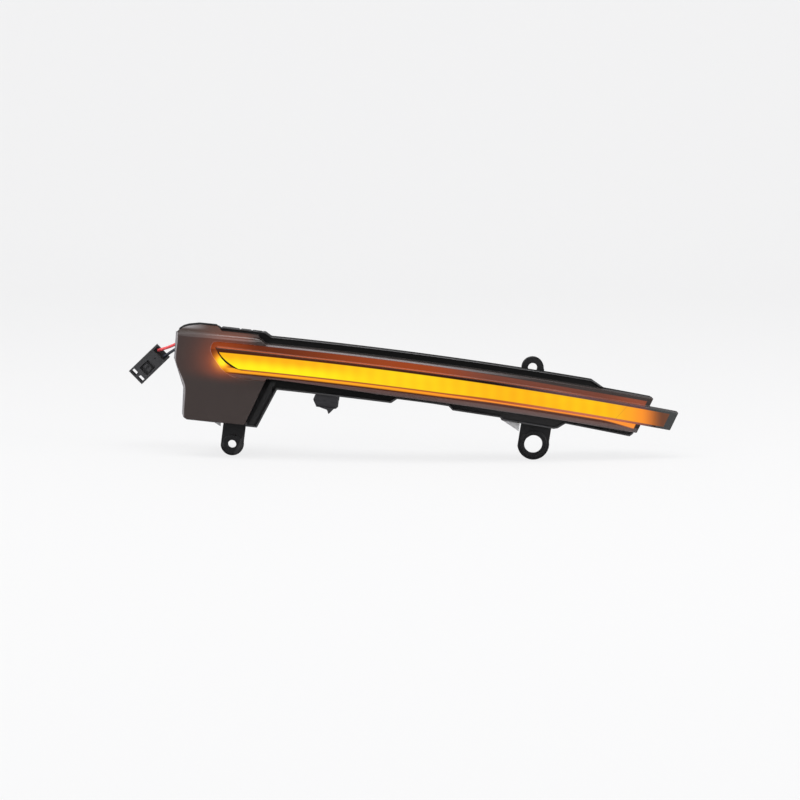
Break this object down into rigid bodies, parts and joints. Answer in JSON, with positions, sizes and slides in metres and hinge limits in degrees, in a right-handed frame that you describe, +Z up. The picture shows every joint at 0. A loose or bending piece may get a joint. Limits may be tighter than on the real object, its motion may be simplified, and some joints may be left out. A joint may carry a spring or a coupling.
{
  "type": "mirror turn signal lamp",
  "caption": "Slim curved LED turn signal for a door mirror: smoked lens with a raised amber light bar, black housing with screw tabs, and a short two-wire pigtail.",
  "frame": {"origin": "on the flat rear face of the screw tab below the head, on the tab's centre line, 5.8 mm above the centre of its screw hole", "axes": "+X along the lamp from the head to the slanted tip, +Y to the rear, out of the screw tab's rear face, +Z up"},
  "size_m": [0.2652, 0.0512, 0.0645],
  "materials": {
    "smoked_lens": "smoked acrylic, polished",
    "clear_plastic": "clear acrylic, polished",
    "seal_rubber": "bead of black sealant",
    "black_housing": "black ABS, fine moulded grain",
    "black_bezel": "black, matt",
    "amber_bar": "amber diffusing acrylic",
    "white_reflector": "white polycarbonate",
    "circuit_board": "green solder mask on glass laminate",
    "led_package": "white package with an amber face",
    "chip": "moulded black epoxy",
    "coil": "ferrite",
    "capacitor": "bare aluminium can",
    "screw_steel": "zinc plated steel",
    "grommet_rubber": "black rubber",
    "black_clip": "black acetal",
    "red_insulation": "red PVC",
    "black_insulation": "black PVC",
    "black_connector": "black nylon",
    "tinned_terminal": "tinned brass"
  },
  "bodies": {
    "root": {"outer_lens": "smoked_lens", "clear_rim": "clear_plastic", "clear_wedge": "clear_plastic", "lens_seal": "seal_rubber", "rear_housing": "black_housing", "light_bezel": "black_bezel", "light_bar": "amber_bar", "reflector_strip": "white_reflector", "led_board": "circuit_board", "led_01": "led_package", "led_02": "led_package", "led_03": "led_package", "led_04": "led_package", "led_05": "led_package", "led_06": "led_package", "led_07": "led_package", "led_08": "led_package", "led_09": "led_package", "led_10": "led_package", "led_11": "led_package", "led_12": "led_package", "led_13": "led_package", "led_14": "led_package", "led_15": "led_package", "led_16": "led_package", "led_17": "led_package", "led_18": "led_package", "led_19": "led_package", "led_20": "led_package", "led_21": "led_package", "led_22": "led_package", "led_23": "led_package", "led_24": "led_package", "led_25": "led_package", "led_26": "led_package", "led_27": "led_package", "led_28": "led_package", "driver_chip": "chip", "input_diode": "chip", "sense_resistor_a": "chip", "sense_resistor_b": "chip", "power_coil": "coil", "input_capacitor": "capacitor", "output_capacitor": "capacitor", "board_screw_1": "screw_steel", "board_screw_2": "screw_steel", "board_screw_3": "screw_steel", "board_screw_4": "screw_steel", "cable_grommet": "grommet_rubber", "vent_cap": "grommet_rubber", "snap_clip": "black_clip", "wire_clip": "black_clip", "wire_red": "red_insulation", "wire_black": "black_insulation", "connector_housing": "black_connector", "connector_lock": "black_connector", "terminal_red": "tinned_terminal", "terminal_black": "tinned_terminal"}
  },
  "joints": []
}
